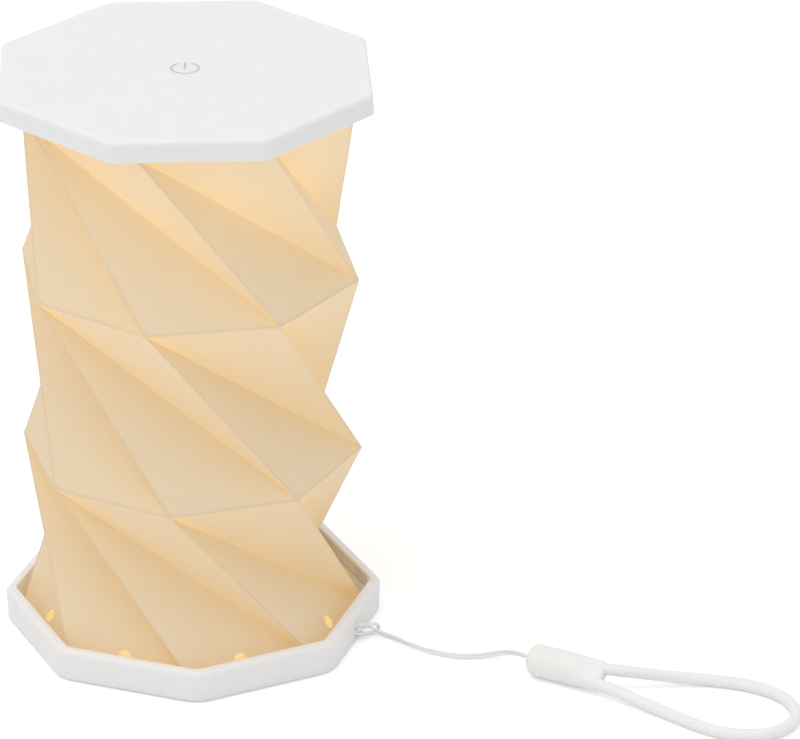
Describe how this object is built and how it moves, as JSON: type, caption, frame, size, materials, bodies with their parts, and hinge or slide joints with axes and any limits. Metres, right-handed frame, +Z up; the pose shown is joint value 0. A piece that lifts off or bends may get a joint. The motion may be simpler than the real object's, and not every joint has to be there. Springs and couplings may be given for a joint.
{
  "type": "pleated paper table lamp",
  "caption": "Portable table lamp with a twist-folding pleated paper shade between a flat touch cap and a shallow tray with a wrist strap.",
  "frame": {"origin": "on the surface that the lamp stands on, under the middle of the tray", "axes": "+Z up through the shade and the cap; -Y towards the viewer, where the tray has a corner and the cap a flat side; +X to the right, where the strap lies"},
  "size_m": [0.2393, 0.1486, 0.1831],
  "materials": {
    "foot_pad": "matt soft foam",
    "tray_shell": "fine matt moulded white",
    "steel_strip": "dull zinc plate",
    "frame_plastic": "matt moulded white",
    "screw_steel": "zinc plated",
    "shade_paper": "white synthetic paper, lit warm from inside",
    "cap_plate": "matt moulded white",
    "cap_shell": "fine matt moulded white",
    "mark_ink": "pale grey print",
    "magnet": "nickel plated",
    "copper_plate": "bare copper foil",
    "conductive_foam": "woven metallised sleeve over foam",
    "circuit_board": "green solder mask",
    "chip_plastic": "matt black moulding",
    "socket_steel": "satin stamped steel",
    "battery_cup": "matt moulded white",
    "foam_tape": "matt foam",
    "cell_pouch": "satin foil",
    "lead_wire": "soft insulation",
    "led_board": "white solder mask",
    "led_lens": "yellow phosphor resin",
    "pin_brass": "bright tinned",
    "opal_plastic": "opal moulding",
    "strap_cord": "fine braided nylon",
    "strap_sleeve": "soft matt silicone",
    "strap_loop": "soft round braid"
  },
  "bodies": {
    "base": {"foot_pad": "foot_pad", "base_tray": "tray_shell", "closure_strips": "steel_strip", "shade_frame_lower": "frame_plastic", "frame_screws_lower": "screw_steel", "strap_hitch": "strap_cord", "strap_cord": "strap_cord", "strap_sleeve": "strap_sleeve", "strap_loop": "strap_loop"},
    "shade": {"pleated_shade": "shade_paper"},
    "cap": {"shade_frame_upper": "frame_plastic", "frame_screws_upper": "screw_steel", "cap_plate": "cap_plate", "cap_cover": "cap_shell", "power_mark": "mark_ink", "cap_screws": "screw_steel", "closure_magnets": "magnet", "touch_plate": "copper_plate", "touch_foam": "conductive_foam", "control_board": "circuit_board", "board_parts": "chip_plastic", "board_screws": "screw_steel", "usb_c_socket": "socket_steel", "battery_cup": "battery_cup", "battery_tape": "foam_tape", "battery_cell": "cell_pouch", "battery_leads": "lead_wire", "led_board": "led_board", "leds": "led_lens", "led_pins": "pin_brass", "led_diffuser": "opal_plastic"}
  },
  "joints": [
    {"name": "fold_twist", "type": "hinge", "parent": "base", "child": "shade", "pos_m": [0, 0, 0], "axis": [0, 0, 1], "range_deg": [-112.6, 0]},
    {"name": "cap_drop", "type": "slide", "parent": "shade", "child": "cap", "axis": [0, 0, 1], "range_m": [-0.1659, 0], "deforming": ["pleated_shade"]}
  ],
  "couplings": [
    {"joint": "fold_twist", "follows": "cap_drop", "rad_per_m": 11.835}
  ]
}
